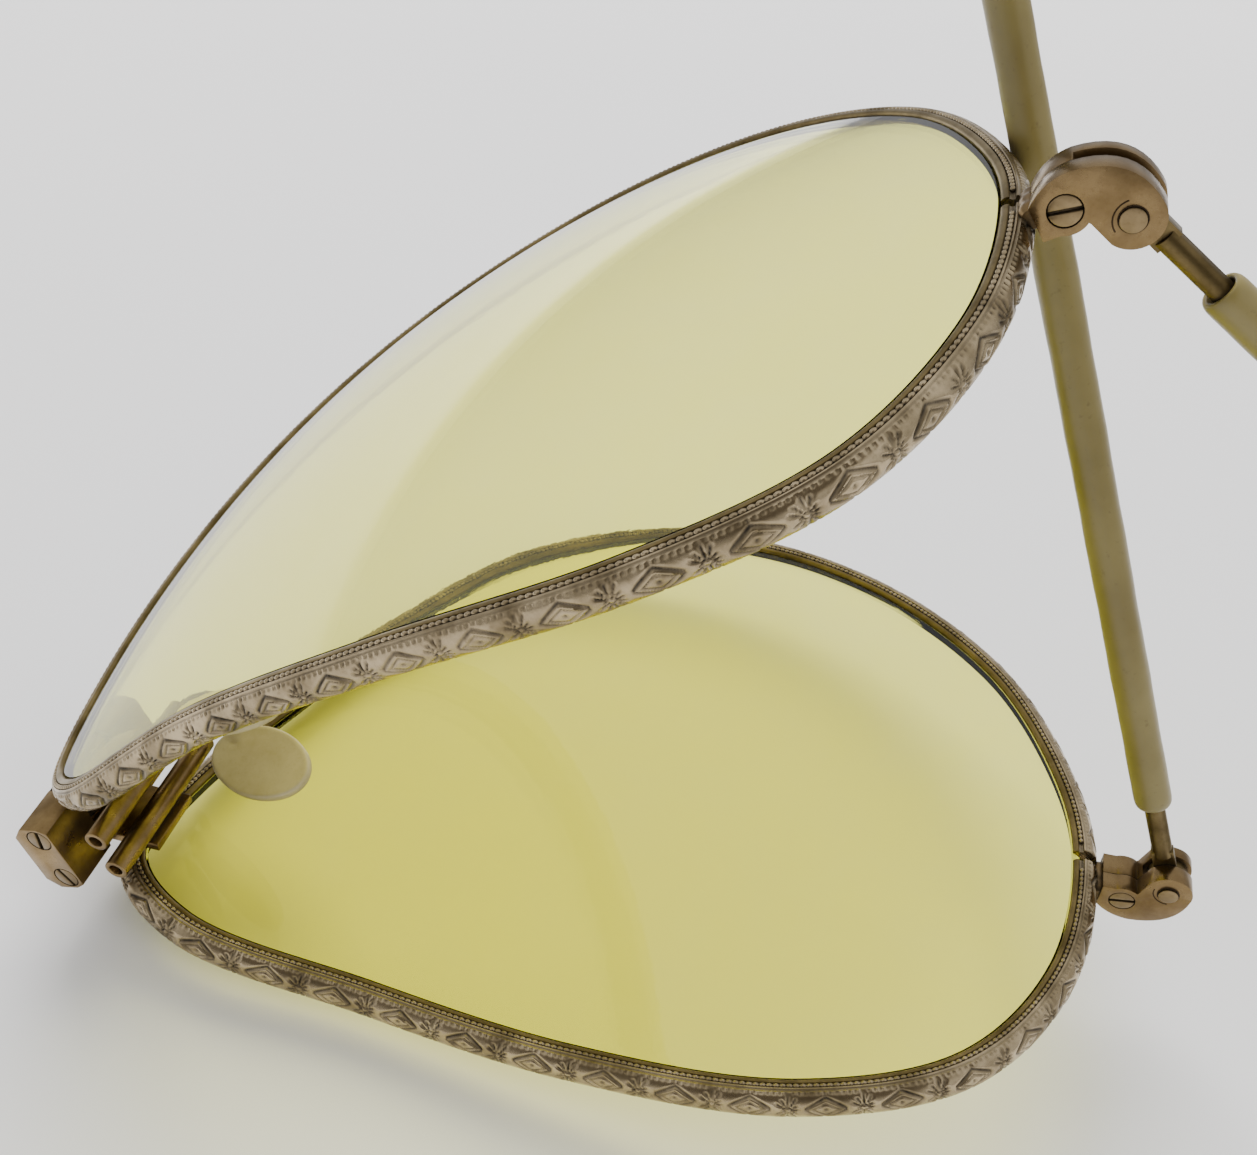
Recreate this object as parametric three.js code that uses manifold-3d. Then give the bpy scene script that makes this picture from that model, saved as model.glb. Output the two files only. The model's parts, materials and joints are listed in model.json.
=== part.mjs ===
// Folding shooting spectacles: two domed pear-shaped lenses in metal rims, joined by a folding bridge link,
// with a riveted hinge and a sleeved wire temple on each side. Half folded, lying on the bridge and one ear end.
// Millimetres. Each side is built in its own lens frame: +X to the temple, +Y down the face, +Z to the eye.
// The left lens frame carries the row. The right side is its mirror image across the fold plane.
import * as THREE from 'three';
import { mergeVertices } from 'three/addons/utils/BufferGeometryUtils.js';
import { ParametricGeometry } from 'three/addons/geometries/ParametricGeometry.js';
import Module from 'manifold-3d';

const wasm = await Module();
wasm.setup();

// Driving dimensions.
const baseRadius = 98.5; // sphere of the lens middle surface, about a 5.4 dioptre curve
const lensHalfThickness = 0.8;
const lensShoulder = 1.15; // the full thickness starts this far inside the rim line
const lensEdge = 0.35; // the bevel's edge stops this far inside the rim line
const rimHalfDepth = 1.05;
const rimWall = 0.65; // half the width of the rim, across its face
const grooveLip = 0.7; // half the mouth of the lens groove
const rimGap = 0.7; // the rim is split at the end piece

const foldAngle = THREE.MathUtils.degToRad(34.3); // between the two lens planes, as it lies
const foldX = -60; // where the two lens planes would meet
const foldPin = { x: -29.7, z: 7.7, radius: 0.42 };
const knuckleRadius = 0.85;
const leafNear = -19.9;
const leafFar = -15.9;
const linkNear = -23.2;
const linkFar = -12.6;
const linkRadius = 0.9;
const linkBack = 1.6; // how far the link's web stands behind the pins
const runningGap = 0.08;
const seatGap = 0.3;

const padTube = { x: -26.4, z: 9.1, radius: 0.68, bore: 0.4, near: -22.8, far: -12.4 };
const padWireRadius = 0.3;
const padSize = { length: 7.2, width: 4.6, thickness: 0.8 };
const padCentre = new THREE.Vector3(-21.9, -13.4, 9.5);

const screwAt = { x: 30.8, z: 3.94 };
const hingeAt = { x: 33.17, z: 5.47 };
const upperPlate = [-4.3, -3.15];
const lowerPlate = [-2.35, -1.65];
const bossReach = 31.7; // the lower plate's boss fills the space between the plates up to here
const eyeSpan = [-3.08, -2.42];
const eyeRadius = 1.15;
const templePinRadius = 0.42;

const coreRadius = 0.6;
const neckLength = 2.4;
const coreLength = 92;
const sleeveStart = 5.8;
const sleeveRadius = 1.08;
const sleeveBore = 0.72;
const sleeveEnd = 87.5;
const earRadius = 1.25;
const earBend = 11;
const earTurn = THREE.MathUtils.degToRad(78);
const earTail = 17;

// How far each temple stands outward of square to its lens, and how far it slopes down the face.
const temples = {
  left: { open: THREE.MathUtils.degToRad(-23.05), slope: THREE.MathUtils.degToRad(11) },
  right: { open: THREE.MathUtils.degToRad(19), slope: THREE.MathUtils.degToRad(3) },
};

// The attitude in which the spectacles lie on the table.
const restPitch = THREE.MathUtils.degToRad(-7.39);
const restRoll = THREE.MathUtils.degToRad(2.88);

// The middle line of the rim, seen square to the lens, from the split at the end piece round the lower edge.
const rimOutline = [
  [28.5, -2.4],
  [27.1, 4.6],
  [22.3, 13.6],
  [14, 20.4],
  [4, 23.5],
  [-6.7, 22.3],
  [-15.6, 16.5],
  [-21.4, 7.5],
  [-25.8, -4.2],
  [-27.8, -13.5],
  [-27.6, -20.2],
  [-23, -23.3],
  [-11.5, -23.5],
  [1, -23.8],
  [13.8, -22.7],
  [22.5, -18.9],
  [27.3, -11.6],
];

// Colours and finishes.
const metal = (color, roughness) => new THREE.MeshStandardMaterial({ color, roughness, metalness: 1 });
const rimMetal = metal(0xb3a58c, 0.35);
const bridgeMetal = metal(0x9c8456, 0.4);
const endPieceMetal = metal(0xb49c78, 0.38);
const screwMetal = metal(0x8c7a56, 0.45);
const wireMetal = metal(0x6e5f38, 0.5);
const padMetal = metal(0xa5965f, 0.6);
const lensGlass = new THREE.MeshStandardMaterial({
  color: 0xe6de96,
  roughness: 0.05,
  metalness: 0,
  transparent: true,
  opacity: 0.35,
});
const sleevePlastic = new THREE.MeshStandardMaterial({ color: 0xa89a5a, roughness: 0.45, metalness: 0 });

// A copy of a geometry with only merged positions, no collapsed triangles, and its faces turned outward.
function closedMesh(source) {
  const bare = source.clone();
  for (const name of Object.keys(bare.attributes)) {
    if (name !== 'position') bare.deleteAttribute(name);
  }
  const merged = mergeVertices(bare, 1e-4);
  const triangles = [];
  const index = merged.index.array;
  for (let i = 0; i < index.length; i += 3) {
    const [a, b, c] = [index[i], index[i + 1], index[i + 2]];
    if (a !== b && b !== c && c !== a) triangles.push(a, b, c);
  }
  merged.setIndex(triangles);
  return volumeOf(merged) < 0 ? turnedOver(merged) : merged;
}

function volumeOf(geometry) {
  const [a, b, c] = [new THREE.Vector3(), new THREE.Vector3(), new THREE.Vector3()];
  const position = geometry.attributes.position;
  const index = geometry.index.array;
  let sixfold = 0;
  for (let i = 0; i < index.length; i += 3) {
    a.fromBufferAttribute(position, index[i]);
    b.fromBufferAttribute(position, index[i + 1]);
    c.fromBufferAttribute(position, index[i + 2]);
    sixfold += a.dot(b.cross(c));
  }
  return sixfold / 6;
}

function turnedOver(geometry) {
  const index = Array.from(geometry.index.array);
  for (let i = 0; i < index.length; i += 3) [index[i], index[i + 1]] = [index[i + 1], index[i]];
  geometry.setIndex(index);
  return geometry;
}

function toSolid(source) {
  const mesh = closedMesh(source);
  return new wasm.Manifold(
    new wasm.Mesh({
      numProp: 3,
      vertProperties: Float32Array.from(mesh.attributes.position.array),
      triVerts: Uint32Array.from(mesh.index.array),
    }),
  );
}

function fromSolid(solid) {
  const mesh = solid.getMesh();
  const geometry = new THREE.BufferGeometry();
  geometry.setAttribute('position', new THREE.Float32BufferAttribute(mesh.vertProperties, 3));
  geometry.setIndex(Array.from(mesh.triVerts));
  return geometry;
}

function joined(...sources) {
  return fromSolid(sources.map(toSolid).reduce((whole, piece) => whole.add(piece)));
}

function cut(source, ...tools) {
  return fromSolid(tools.map(toSolid).reduce((whole, tool) => whole.subtract(tool), toSolid(source)));
}

// A turned piece on the face-down axis through (x, z), from a profile of [radius, y] points.
function turned(profile, at, sides = 24) {
  const points = profile.map(([radius, y]) => new THREE.Vector2(radius, y));
  return new THREE.LatheGeometry(points, sides).translate(at.x, 0, at.z);
}

function cylinder(radius, from, to, at, sides = 24) {
  return turned([[0, from], [radius, from], [radius, to], [0, to]], at, sides);
}

// A flat shape drawn in the lens frame's X and Z, made solid from one y to another.
function plate(shape, [from, to]) {
  const geometry = new THREE.ExtrudeGeometry(shape, { depth: to - from, bevelEnabled: false, curveSegments: 10 });
  return geometry.rotateX(Math.PI / 2).translate(0, to, 0);
}

function circle(radius) {
  return new THREE.Shape().absarc(0, 0, radius, 0, 2 * Math.PI, false);
}

function rod(curve, radius, steps) {
  return new THREE.ExtrudeGeometry(circle(radius), { extrudePath: curve, steps, curveSegments: 7 });
}

// The rim line: the outline, lifted onto the lens sphere.
const outline = new THREE.CatmullRomCurve3(
  rimOutline.map(([x, y]) => new THREE.Vector3(x, y, 0)),
  true,
  'centripetal',
);

function lifted(x, y) {
  return new THREE.Vector3(x, y, baseRadius - Math.sqrt(baseRadius ** 2 - x * x - y * y));
}

// A point beside the rim line: outward across the rim, and depth towards the eye.
function besideRim(t, outward, depth) {
  const here = outline.getPointAt(t % 1);
  const step = outline.getTangentAt(t % 1);
  const point = lifted(here.x, here.y);
  const tangent = lifted(here.x + step.x * 0.1, here.y + step.y * 0.1).sub(point).normalize();
  const towardsEye = new THREE.Vector3(0, 0, baseRadius).sub(point).normalize();
  const across = tangent.clone().cross(towardsEye).normalize();
  return point.addScaledVector(across, outward).addScaledVector(towardsEye, depth);
}

function rimGeometry() {
  const section = [
    [rimWall + 0.05, 0],
    [rimWall - 0.05, rimHalfDepth - 0.25],
    [rimWall - 0.25, rimHalfDepth],
    [-rimWall, rimHalfDepth],
    [-rimWall, grooveLip],
    [0, 0],
    [-rimWall, -grooveLip],
    [-rimWall, -rimHalfDepth],
    [rimWall - 0.25, -rimHalfDepth],
    [rimWall - 0.05, 0.25 - rimHalfDepth],
  ];
  const spine = [rimWall / 2, 0];
  const steps = 96;
  const halfGap = rimGap / 2 / outline.getLength();
  const surface = (around, along, target) => {
    const stack = Math.round(along * (steps + 2));
    const isCap = stack === 0 || stack === steps + 2;
    const t = halfGap + (1 - 2 * halfGap) * THREE.MathUtils.clamp((stack - 1) / steps, 0, 1);
    const [outward, depth] = isCap ? spine : section[Math.round(around * section.length) % section.length];
    target.copy(besideRim(t, outward, depth));
  };
  return new ParametricGeometry(surface, section.length, steps + 2);
}

function lensGeometry() {
  const reach = [0, 0.35, 0.7];
  const back = reach.map((part) => ({ part, depth: lensHalfThickness }));
  const front = reach.map((part) => ({ part, depth: -lensHalfThickness })).reverse();
  const edge = [
    { outward: -lensShoulder, depth: lensHalfThickness },
    { outward: -lensEdge, depth: 0 },
    { outward: -lensShoulder, depth: -lensHalfThickness },
  ];
  const profile = [...back, ...edge, ...front];
  const steps = 72;
  const surface = (around, across, target) => {
    const t = (Math.round(around * steps) % steps) / steps;
    const ring = profile[Math.round(across * (profile.length - 1))];
    if (ring.outward !== undefined) {
      target.copy(besideRim(t, ring.outward, ring.depth));
      return;
    }
    const here = outline.getPointAt(t).multiplyScalar(ring.part);
    const point = lifted(here.x, here.y);
    const towardsEye = new THREE.Vector3(0, 0, baseRadius).sub(point).normalize();
    target.copy(point.addScaledVector(towardsEye, ring.depth));
  };
  return new ParametricGeometry(surface, steps, profile.length - 1);
}

// The leaf lies on the back of the rim's nasal tip and ends in the middle knuckle of the fold hinge.
function leafGeometry() {
  const plateShape = new THREE.Shape()
    .moveTo(foldPin.x, foldPin.z - 0.15)
    .lineTo(foldPin.x + 1.3, foldPin.z - 0.15)
    .lineTo(-25.6, foldPin.z - 0.15)
    .lineTo(-25.6, foldPin.z + 0.45)
    .lineTo(foldPin.x, foldPin.z + 0.45)
    .closePath();
  const knuckle = cylinder(knuckleRadius, leafNear, leafFar, foldPin);
  const body = joined(plate(plateShape, [leafNear, leafFar]), knuckle);
  return cut(body, cylinder(foldPin.radius + runningGap, leafNear - 1, leafFar + 1, foldPin));
}

function foldPinGeometry() {
  const near = linkNear;
  const head = 0.72;
  const profile = [
    [0, near],
    [head, near],
    [head, near + 0.5],
    [foldPin.radius, near + 0.5],
    [foldPin.radius, linkFar - 0.1],
    [0, linkFar - 0.1],
  ];
  const slot = new THREE.BoxGeometry(2, 0.5, 0.22).rotateY(1).translate(foldPin.x, near, foldPin.z);
  return cut(turned(profile, foldPin), slot);
}

// The link is drawn about the fold plane: X along the plane, Z across it, with its origin between the pins.
function linkGeometry(halfPitch) {
  const side = halfPitch + linkRadius;
  const facet = 0.7;
  const section = new THREE.Shape()
    .moveTo(-linkBack, facet - side)
    .lineTo(facet - linkBack, -side)
    .lineTo(0.3, -side)
    .lineTo(linkRadius, 0.3 - side)
    .lineTo(linkRadius, side - 0.3)
    .lineTo(0.3, side)
    .lineTo(facet - linkBack, side)
    .lineTo(-linkBack, side - facet)
    .closePath();
  const block = plate(section, [linkNear, linkFar]);
  const window = new THREE.BoxGeometry(8, leafFar - leafNear + 2 * seatGap, 2 * side + 1);
  window.translate(4 - knuckleRadius - 0.2, (leafFar + leafNear) / 2, 0);
  const tools = [window];
  for (const z of [-halfPitch, halfPitch]) {
    tools.push(cylinder(foldPin.radius + runningGap, linkNear - 1, linkFar + 1, { x: 0, z }));
    tools.push(cylinder(0.78, linkNear - 1, linkNear + 0.56, { x: 0, z }));
  }
  return cut(block, ...tools);
}

function padTubeGeometry() {
  const { near, far, radius, bore } = padTube;
  const profile = [[bore, near], [radius, near], [radius, far], [bore, far], [bore, near]];
  return turned(profile, padTube, 20);
}

// The arm's wire runs through the tube and bends over to the back of the pad.
function padArmGeometry() {
  const { x, z, near, far } = padTube;
  const course = new THREE.CatmullRomCurve3(
    [
      [x, near + 1, z],
      [x, (near + far) / 2, z],
      [x, far, z],
      [x + 0.2, far + 1.2, z + 0.3],
      [x + 1.1, far + 1.7, z + 1],
      [x + 1.9, far + 0.8, z + 1.5],
    ].map((point) => new THREE.Vector3(...point)),
  );
  return rod(course, padWireRadius, 20);
}

// A flat oval spoon, thin, facing up and towards the nose.
function padGeometry() {
  const shape = new THREE.Shape().absellipse(0, 0, padSize.length / 2, padSize.width / 2, 0, 2 * Math.PI);
  const spoon = new THREE.ExtrudeGeometry(shape, { depth: padSize.thickness, bevelEnabled: false, curveSegments: 16 });
  spoon.translate(0, 0, -padSize.thickness / 2);
  const placed = spoon.rotateZ(-0.25).rotateX(0.3).rotateY(-0.2);
  return placed.translate(padCentre.x, padCentre.y, padCentre.z);
}

// The end piece's outline: a tab at the rim, a lobe for the screw and a lobe for the temple pin.
function endPieceShape() {
  const rimSide = 29.45;
  return new THREE.Shape()
    .moveTo(rimSide, 3.2)
    .quadraticCurveTo(30.4, 2.3, 31.6, 2.35)
    .quadraticCurveTo(34.3, 2.7, 34.56, 5.3)
    .absarc(hingeAt.x, hingeAt.z, 1.4, -0.12, 2.6, false)
    .lineTo(31.55, 4.95)
    .absarc(screwAt.x, screwAt.z, 1.15, 0.93, 2.1, false)
    .lineTo(rimSide, 4.9)
    .closePath();
}

function endPieceGeometry(body) {
  const [near, far] = [upperPlate[0], lowerPlate[1]];
  return cut(
    body,
    cylinder(templePinRadius + runningGap, near - 1, far + 1, hingeAt),
    cylinder(0.38 + runningGap, near - 1, far + 1, screwAt),
    cylinder(0.8, near - 1, near + 0.45, screwAt),
  );
}

// The lower plate carries a boss that stands against the upper plate, clear of the temple's eye.
function lowerPlateGeometry() {
  const [from, to] = lowerPlate;
  const top = upperPlate[1] + 0.04;
  const beyond = new THREE.BoxGeometry(6, 4, 8).translate(bossReach + 3, from, hingeAt.z);
  const boss = cut(plate(endPieceShape(), [top, (from + to) / 2]), beyond);
  return joined(plate(endPieceShape(), lowerPlate), boss);
}

function closingScrewGeometry() {
  const [near, far] = [upperPlate[0], lowerPlate[1]];
  const profile = [[0, near], [0.74, near], [0.74, near + 0.4], [0.38, near + 0.4], [0.38, far], [0, far]];
  const slot = new THREE.BoxGeometry(2, 0.5, 0.2).rotateY(-0.22).translate(screwAt.x, near, screwAt.z);
  return cut(turned(profile, screwAt), slot);
}

function templePinGeometry() {
  const [near, far] = [upperPlate[0] - 0.06, lowerPlate[1] + 0.06];
  const profile = [
    [0, near - 0.1],
    [0.58, near - 0.1],
    [0.58, near],
    [templePinRadius, near],
    [templePinRadius, far],
    [0.58, far],
    [0.58, far + 0.1],
    [0, far + 0.1],
  ];
  return turned(profile, hingeAt);
}

// The temple's pieces, drawn along +Z from the hinge pin and then swung to where the temple stands.
function swung(geometry, { open, slope }) {
  return geometry.rotateX(-slope).rotateY(open);
}

function ontoHinge(geometry) {
  return geometry.translate(hingeAt.x, (eyeSpan[0] + eyeSpan[1]) / 2, hingeAt.z);
}

function templeWireGeometry(pose) {
  const half = (eyeSpan[1] - eyeSpan[0]) / 2;
  const origin = { x: 0, z: 0 };
  const eye = cylinder(eyeRadius, -half, half, origin);
  const neck = new THREE.BoxGeometry(1.3, 2 * half, neckLength).translate(0, 0, neckLength / 2).rotateY(pose.open);
  const start = neckLength - 0.4;
  const core = new THREE.CylinderGeometry(coreRadius, coreRadius, coreLength - start, 12).rotateX(Math.PI / 2);
  core.translate(0, 0, (coreLength + start) / 2);
  const lift = -Math.sin(pose.slope) * start;
  const body = joined(eye, neck, swung(core, pose).translate(0, lift, 0));
  return ontoHinge(cut(body, cylinder(templePinRadius + runningGap, -half - 1, half + 1, origin)));
}

function alongTemple(geometry, pose) {
  const start = neckLength - 0.4;
  return ontoHinge(swung(geometry, pose).translate(0, -Math.sin(pose.slope) * start, 0));
}

function sleeveGeometry(pose) {
  const profile = [
    [sleeveBore, sleeveStart],
    [sleeveRadius - 0.15, sleeveStart],
    [sleeveRadius, sleeveStart + 0.6],
    [sleeveRadius, sleeveEnd],
    [sleeveBore, sleeveEnd],
    [sleeveBore, sleeveStart],
  ];
  const points = profile.map(([radius, y]) => new THREE.Vector2(radius, y));
  return alongTemple(new THREE.LatheGeometry(points, 20).rotateX(Math.PI / 2), pose);
}

// The ear end carries on from the sleeve, bends down the face and ends in a round tip.
function earEndGeometry(pose) {
  const start = sleeveEnd + seatGap;
  const bendStart = coreLength + 1.5;
  const course = new THREE.CurvePath();
  const at = (turn) => new THREE.Vector3(0, earBend * (1 - Math.cos(turn)), bendStart + earBend * Math.sin(turn));
  const straight = new THREE.LineCurve3(new THREE.Vector3(0, 0, start), at(0));
  course.add(straight);
  const bend = new THREE.CatmullRomCurve3([0, 1, 2, 3, 4].map((part) => at((part / 4) * earTurn)));
  course.add(bend);
  const along = new THREE.Vector3(0, Math.sin(earTurn), Math.cos(earTurn));
  const tip = at(earTurn).addScaledVector(along, earTail);
  course.add(new THREE.LineCurve3(at(earTurn), tip));
  const cap = new THREE.SphereGeometry(earRadius, 12, 8).translate(tip.x, tip.y, tip.z);
  const bore = new THREE.CylinderGeometry(sleeveBore, sleeveBore, coreLength - start + 2, 14).rotateX(Math.PI / 2);
  bore.translate(0, 0, (coreLength + start) / 2 - 0.7);
  return alongTemple(cut(joined(rod(course, earRadius, 30), cap), bore), pose);
}

// One side's pieces, in its own lens frame.
function sidePieces(pose) {
  return {
    rim: [rimGeometry(), rimMetal],
    lens: [lensGeometry(), lensGlass],
    hinge_leaf: [leafGeometry(), bridgeMetal],
    fold_pin: [foldPinGeometry(), screwMetal],
    pad_tube: [padTubeGeometry(), bridgeMetal],
    pad_arm: [padArmGeometry(), wireMetal],
    nose_pad: [padGeometry(), padMetal],
    upper_end_piece: [endPieceGeometry(plate(endPieceShape(), upperPlate)), endPieceMetal],
    lower_end_piece: [endPieceGeometry(lowerPlateGeometry()), endPieceMetal],
    closing_screw: [closingScrewGeometry(), screwMetal],
    temple_pin: [templePinGeometry(), screwMetal],
    temple_wire: [templeWireGeometry(pose), wireMetal],
    temple_sleeve: [sleeveGeometry(pose), sleevePlastic],
    ear_end: [earEndGeometry(pose), sleevePlastic],
  };
}

function sideGroup(side) {
  const group = new THREE.Group();
  for (const [name, [geometry, material]] of Object.entries(sidePieces(temples[side]))) {
    if (side === 'right') geometry.scale(1, 1, -1);
    const mesh = new THREE.Mesh(closedMesh(geometry), material);
    mesh.name = `${side}_${name}`;
    group.add(mesh);
  }
  return group;
}

const spectacles = new THREE.Group();
spectacles.add(sideGroup('left'));

// Turned about the line where the lens planes meet, the mirrored side faces the left one across the fold.
const rightSide = sideGroup('right');
rightSide.rotation.y = -foldAngle;
rightSide.position.set(foldX - foldX * Math.cos(foldAngle), 0, -foldX * Math.sin(foldAngle));
spectacles.add(rightSide);

const half = foldAngle / 2;
const alongFold = (foldPin.x - foldX) * Math.cos(half) + foldPin.z * Math.sin(half);
const halfPitch = (foldPin.x - foldX) * Math.sin(half) - foldPin.z * Math.cos(half);
const link = new THREE.Mesh(closedMesh(linkGeometry(halfPitch)), bridgeMetal);
link.name = 'bridge_link';
link.rotation.y = -half;
link.position.set(foldX + alongFold * Math.cos(half), 0, alongFold * Math.sin(half));
spectacles.add(link);

// Laid in its resting attitude, with the origin under the middle of its box.
spectacles.rotation.set(restRoll, restPitch, 0);
spectacles.updateMatrixWorld(true);
const box = new THREE.Box3().setFromObject(spectacles, true);
const middle = box.getCenter(new THREE.Vector3());
spectacles.position.set(-middle.x, -middle.y, -box.min.z);

const part = new THREE.Group();
part.add(spectacles);

export default part;
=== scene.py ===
"""Folding shooting spectacles with yellow lenses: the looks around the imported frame.

Lengths are in millimetres in each side's lens frame (+X to the temple, +Y down the face, +Z to the eye),
and side_matrix() takes them to metres in the row frame. The right side is the mirror image of the left.
"""

import json
import math

import bmesh
import bpy
import numpy as np
from mathutils import Matrix, Vector


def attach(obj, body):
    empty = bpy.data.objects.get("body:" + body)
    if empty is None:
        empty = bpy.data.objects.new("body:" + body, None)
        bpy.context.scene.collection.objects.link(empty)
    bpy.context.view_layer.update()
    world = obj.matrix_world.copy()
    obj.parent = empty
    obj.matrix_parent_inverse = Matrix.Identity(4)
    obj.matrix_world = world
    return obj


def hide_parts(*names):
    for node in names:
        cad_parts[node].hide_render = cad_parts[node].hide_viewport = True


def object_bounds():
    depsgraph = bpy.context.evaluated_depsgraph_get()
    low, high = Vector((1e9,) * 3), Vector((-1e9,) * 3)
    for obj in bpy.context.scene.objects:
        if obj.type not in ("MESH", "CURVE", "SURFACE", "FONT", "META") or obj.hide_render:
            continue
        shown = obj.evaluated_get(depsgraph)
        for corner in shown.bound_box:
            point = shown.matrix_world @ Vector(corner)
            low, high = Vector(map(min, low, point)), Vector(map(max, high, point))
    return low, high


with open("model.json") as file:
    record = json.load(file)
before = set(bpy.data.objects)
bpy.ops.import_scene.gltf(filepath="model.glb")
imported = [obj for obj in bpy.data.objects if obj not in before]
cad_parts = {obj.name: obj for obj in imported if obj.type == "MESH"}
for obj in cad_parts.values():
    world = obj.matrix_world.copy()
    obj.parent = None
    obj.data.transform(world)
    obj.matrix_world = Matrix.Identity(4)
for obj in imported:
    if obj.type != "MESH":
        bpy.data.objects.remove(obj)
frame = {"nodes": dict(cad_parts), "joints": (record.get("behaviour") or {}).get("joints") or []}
cad_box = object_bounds()
joints = {joint["name"]: joint for joint in frame["joints"]}

MM = 0.001
SIDES = ("left", "right")

# The lens frame's fixed points: the fold pin and the temple pin.
FOLD_PIN = (-29.7, -17.9, 7.7)
TEMPLE_PIN = (33.17, -2.4, 5.47)

# The rim line, seen square to the lens, from the split at the end piece round the lower edge.
RIM_OUTLINE = [
    (28.5, -2.4),
    (27.1, 4.6),
    (22.3, 13.6),
    (14, 20.4),
    (4, 23.5),
    (-6.7, 22.3),
    (-15.6, 16.5),
    (-21.4, 7.5),
    (-25.8, -4.2),
    (-27.8, -13.5),
    (-27.6, -20.2),
    (-23, -23.3),
    (-11.5, -23.5),
    (1, -23.8),
    (13.8, -22.7),
    (22.5, -18.9),
    (27.3, -11.6),
]
BASE_RADIUS = 98.5
RIM_GAP = 0.7
BAND_TURN = math.radians(78)  # the engraved band is an ellipse arc, this far round to each side
BAND_CENTRE, BAND_DEEP, BAND_OUT = -0.12, 1.03, 0.82
RIM_STEP = 0.105
BEAD_PITCH = 0.37
BEAD_RADIUS = 0.14
BEAD_ROW = (-0.15, 0.92)
MOTIF_COUNT = 42
LIP_SECTION = (
    (-0.7, 0.66),
    (-0.7, 0.84),
    (-0.6, 0.94),
    (-0.46, 0.99),
    (-0.34, 0.985),
    (-0.3, 0.93),
    (-0.45, 0.82),
)
LENS_HALF_THICKNESS = 0.8
LENS_SHOULDER = 0.82
LENS_BEVEL = ((-0.71, 0.62), (-0.5, 0.3), (-0.35, 0), (-0.5, -0.3), (-0.71, -0.62))

SLEEVE_RADIUS = 1.08
SLEEVE_START = 5.8
SLEEVE_BORE = 0.72
EAR_RADIUS = 1.25
EAR_BEND = 11
EAR_TURN = math.radians(78)
EAR_TAIL = 17
EAR_START = 87.8
BEND_START = 93.5
TUBE_SIDES = 28  # points round a sleeve or an ear end

PLATE_TOP = -4.3
COLLAR_FROM, COLLAR_TO = -4.15, -1.8
COLLAR_X, COLLAR_Z = 29.4, 3.75
COLLAR_RADIUS = 0.66
PAD_HALF_LONG, PAD_HALF_SHORT, PAD_HALF_THICK = 3.6, 2.3, 0.36

# How far the ambient occlusion looks when it places the painted shade in recesses.
CREVICE_REACH = 0.6 * MM
TABLE_HALF = 3.0
# The smooth lens dome reaches a little below the faceted one, so the table lies just under it.
TABLE_LEVEL = -0.05 * MM
ROOM_STRENGTH = 0.97

# The camera, in the left lens frame.
EYE_AT = (12.9066, -62.2693, 74.4968)
EYE_FORWARD = (-0.18053, 0.73098, -0.65809)
EYE_RIGHT = (0.96441, 0.26299, 0.02756)
LENS_LENGTH = 39.55
SENSOR = 36


def side_matrix(side):
    """Takes a point in a side's lens frame, in millimetres, to the row frame, in metres."""
    sign = 1 if side == "left" else -1
    down = Vector(joints["left_temple_hinge"]["axis"]).normalized()
    temple = Vector(joints[side + "_temple_hinge"]["pos_m"])
    span = temple - Vector(joints["fold_" + side]["pos_m"])
    span = (span - span.dot(down) * down).normalized()
    local = Vector((TEMPLE_PIN[0] - FOLD_PIN[0], 0, sign * (TEMPLE_PIN[2] - FOLD_PIN[2]))).normalized()
    turn = down.cross(span)
    x_axis = local.x * span + local.z * turn
    z_axis = local.z * span - local.x * turn
    turned = Matrix((x_axis, down, z_axis)).transposed().to_4x4()
    scaled = turned @ Matrix.Diagonal((MM, MM, sign * MM, 1))
    offset = temple - scaled @ Vector(TEMPLE_PIN)
    return Matrix.Translation(offset) @ scaled


MATRICES = {side: side_matrix(side) for side in SIDES}


def to_row(points, side):
    """Points in a side's lens frame, taken to the row frame."""
    matrix = np.array(MATRICES[side])
    return np.asarray(points, float) @ matrix[:3, :3].T + matrix[:3, 3]


def corners_of(side, part):
    """The corners of one of a side's CAD nodes, in the side's lens frame."""
    inverse = np.array(MATRICES[side].inverted())
    row = np.array([v.co for v in frame["nodes"][f"{side}_{part}"].data.vertices], float)
    return row @ inverse[:3, :3].T + inverse[:3, 3]


# ---------------------------------------------------------------- shader nodes


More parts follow.
